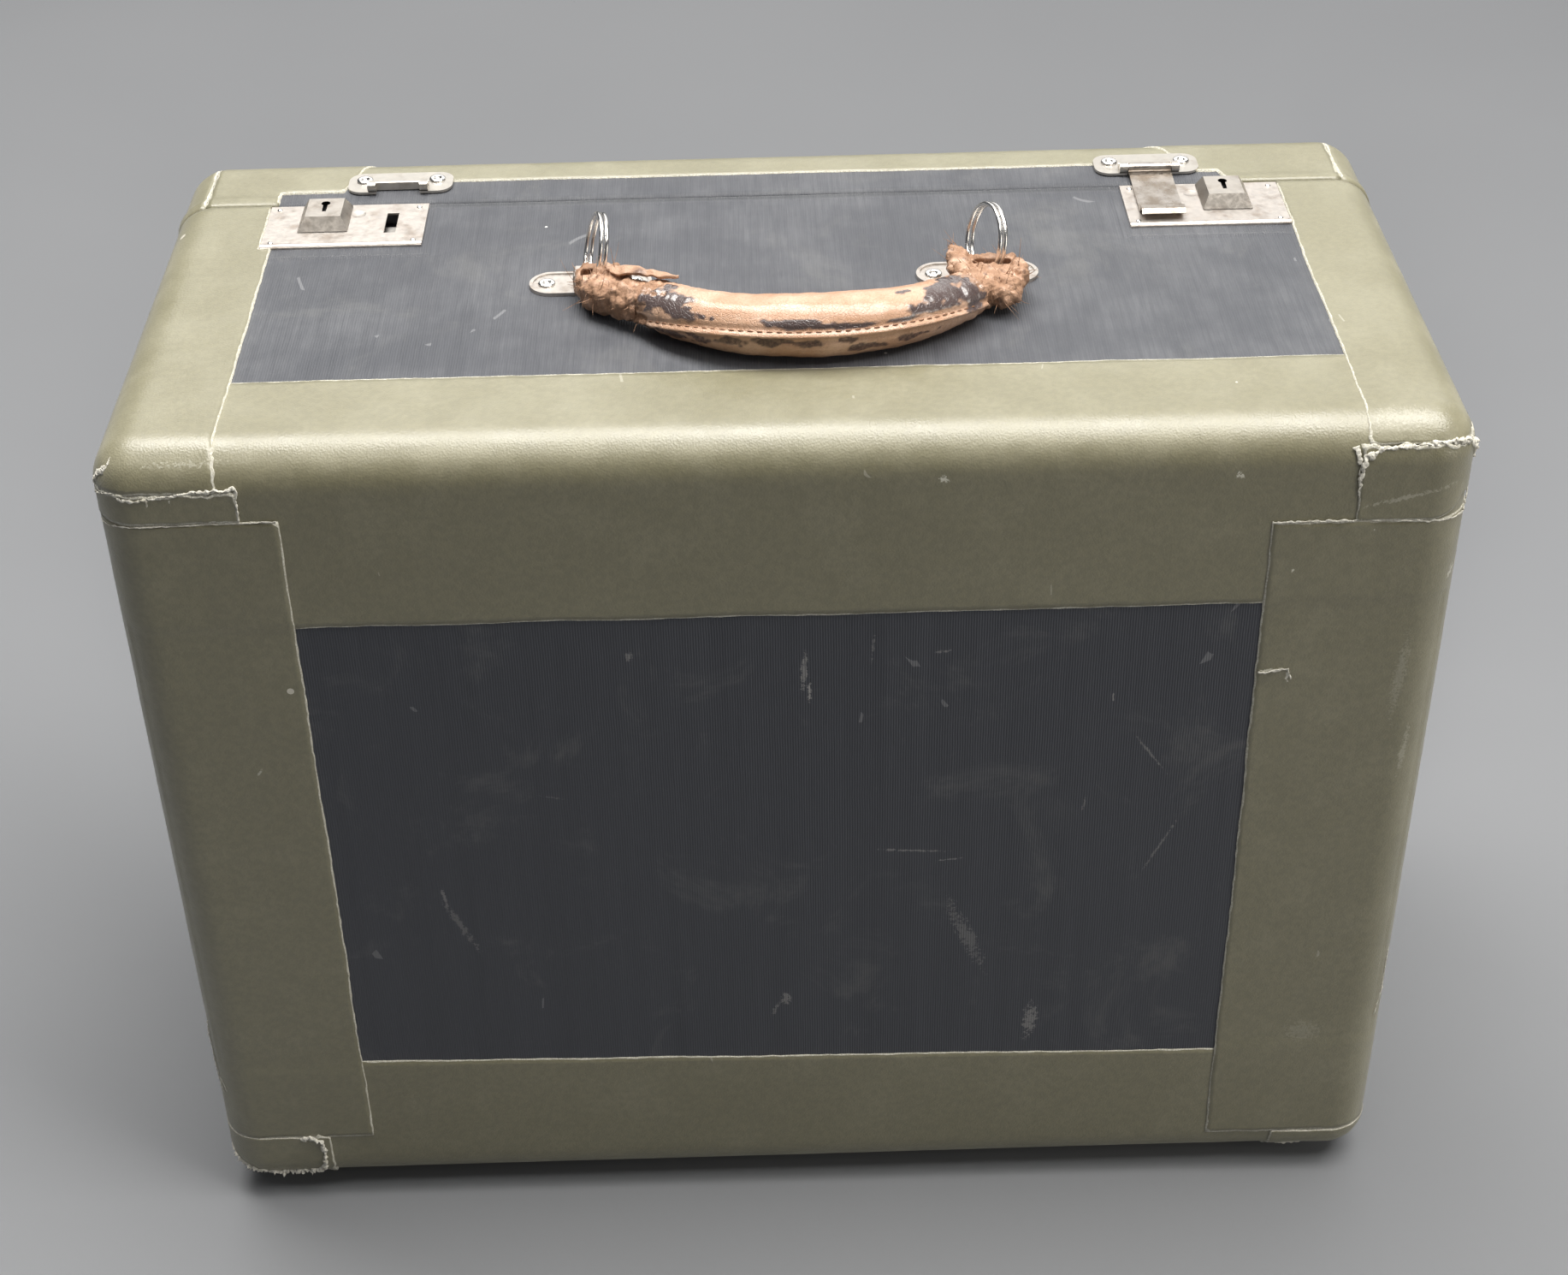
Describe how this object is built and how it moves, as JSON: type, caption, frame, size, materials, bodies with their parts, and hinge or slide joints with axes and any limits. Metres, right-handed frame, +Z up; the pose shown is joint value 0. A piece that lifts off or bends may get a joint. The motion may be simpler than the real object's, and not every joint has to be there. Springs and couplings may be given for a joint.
{
  "type": "suitcase",
  "caption": "Upright hard suitcase with rounded edges, covered in olive leatherette and black cloth, with slide locks on top, a leather handle on split rings and a hinged rear lid.",
  "frame": {"origin": "middle of the closed case's footprint, on the ground under the feet", "axes": "+X along the case's length, to the right seen from the front, +Y from the front to the lid, +Z up"},
  "size_m": [0.48, 0.236, 0.3967],
  "materials": {
    "olive_leatherette": "smooth olive bookcloth, satin, worn pale along its cut edges",
    "black_cloth": "finely ribbed black cloth, scuffed",
    "tan_leather": "tan leather with the black finish worn off",
    "padding": "pressed fibre",
    "nickel": "dull nickel plate",
    "spring_steel": "bare steel",
    "wood": "plain softwood board",
    "lining": "plain pasted lining paper"
  },
  "bodies": {
    "case_body": {"front_board": "wood", "top_board": "wood", "bottom_board": "wood", "left_board": "wood", "right_board": "wood", "lip_strip": "wood", "body_lining": "lining", "body_cloth": "black_cloth", "top_front_band": "olive_leatherette", "bottom_front_band": "olive_leatherette", "left_front_strip": "olive_leatherette", "right_front_strip": "olive_leatherette", "left_top_strip": "olive_leatherette", "right_top_strip": "olive_leatherette", "bottom_strips": "olive_leatherette", "corner_patches": "olive_leatherette", "feet": "nickel", "left_lock_plate": "nickel", "right_lock_plate": "nickel", "left_lock_case": "spring_steel", "right_lock_case": "spring_steel", "body_nails": "nickel", "left_bolt_spring": "spring_steel", "right_bolt_spring": "spring_steel", "left_handle_plate": "nickel", "right_handle_plate": "nickel", "handle_rivets": "nickel", "left_hinge_body_leaf": "nickel", "right_hinge_body_leaf": "nickel", "hinge_pins": "spring_steel"},
    "lid": {"lid_panel": "wood", "lid_top_rim": "wood", "lid_bottom_rim": "wood", "lid_left_rim": "wood", "lid_right_rim": "wood", "lid_lining": "lining", "lid_cloth": "black_cloth", "lid_top_band": "olive_leatherette", "lid_bottom_band": "olive_leatherette", "lid_left_strip": "olive_leatherette", "lid_right_strip": "olive_leatherette", "left_hasp_bracket": "nickel", "right_hasp_bracket": "nickel", "bracket_rivets": "nickel", "right_hasp_pin": "spring_steel", "left_hinge_lid_leaf": "nickel", "right_hinge_lid_leaf": "nickel", "lid_nails": "nickel"},
    "handle": {"grip_cover": "tan_leather", "grip_core": "padding", "grip_seam": "tan_leather", "left_end_loop": "tan_leather", "right_end_loop": "tan_leather"},
    "left_ring": {"left_ring": "nickel"},
    "right_ring": {"right_ring": "nickel"},
    "left_slide": {"left_button": "nickel", "left_bolt": "spring_steel"},
    "right_slide": {"right_button": "nickel", "right_bolt": "spring_steel"},
    "right_hasp": {"right_hasp": "nickel"}
  },
  "joints": [
    {"name": "lid_hinge", "type": "hinge", "parent": "case_body", "child": "lid", "pos_m": [0, 0.0705, 0.0051], "axis": [-1, 0, 0], "range_deg": [0, 100]},
    {"name": "handle_swing", "type": "hinge", "parent": "case_body", "child": "handle", "pos_m": [0, -0.001, 0.38317], "axis": [-1, 0, 0], "range_deg": [0, 170]},
    {"name": "left_ring_turn", "type": "hinge", "parent": "case_body", "child": "left_ring", "pos_m": [-0.0677, -0.001, 0.38317], "axis": [0.9649, 0.1356, -0.225], "continuous": true},
    {"name": "right_ring_turn", "type": "hinge", "parent": "case_body", "child": "right_ring", "pos_m": [0.0777, -0.001, 0.38317], "axis": [0.9318, 0.2849, -0.225], "continuous": true},
    {"name": "left_button_slide", "type": "slide", "parent": "case_body", "child": "left_slide", "axis": [-1, 0, 0], "range_m": [0, 0.0055], "stiffness_N_per_m": 400, "springref_m": -0.004, "deforming": ["left_bolt_spring"]},
    {"name": "right_button_slide", "type": "slide", "parent": "case_body", "child": "right_slide", "axis": [1, 0, 0], "range_m": [0, 0.0055], "stiffness_N_per_m": 400, "springref_m": -0.004, "deforming": ["right_bolt_spring"]},
    {"name": "right_hasp_hinge", "type": "hinge", "parent": "lid", "child": "right_hasp", "pos_m": [0.151, 0.0807, 0.3713], "axis": [-1, 0, 0], "range_deg": [0, 100]}
  ]
}
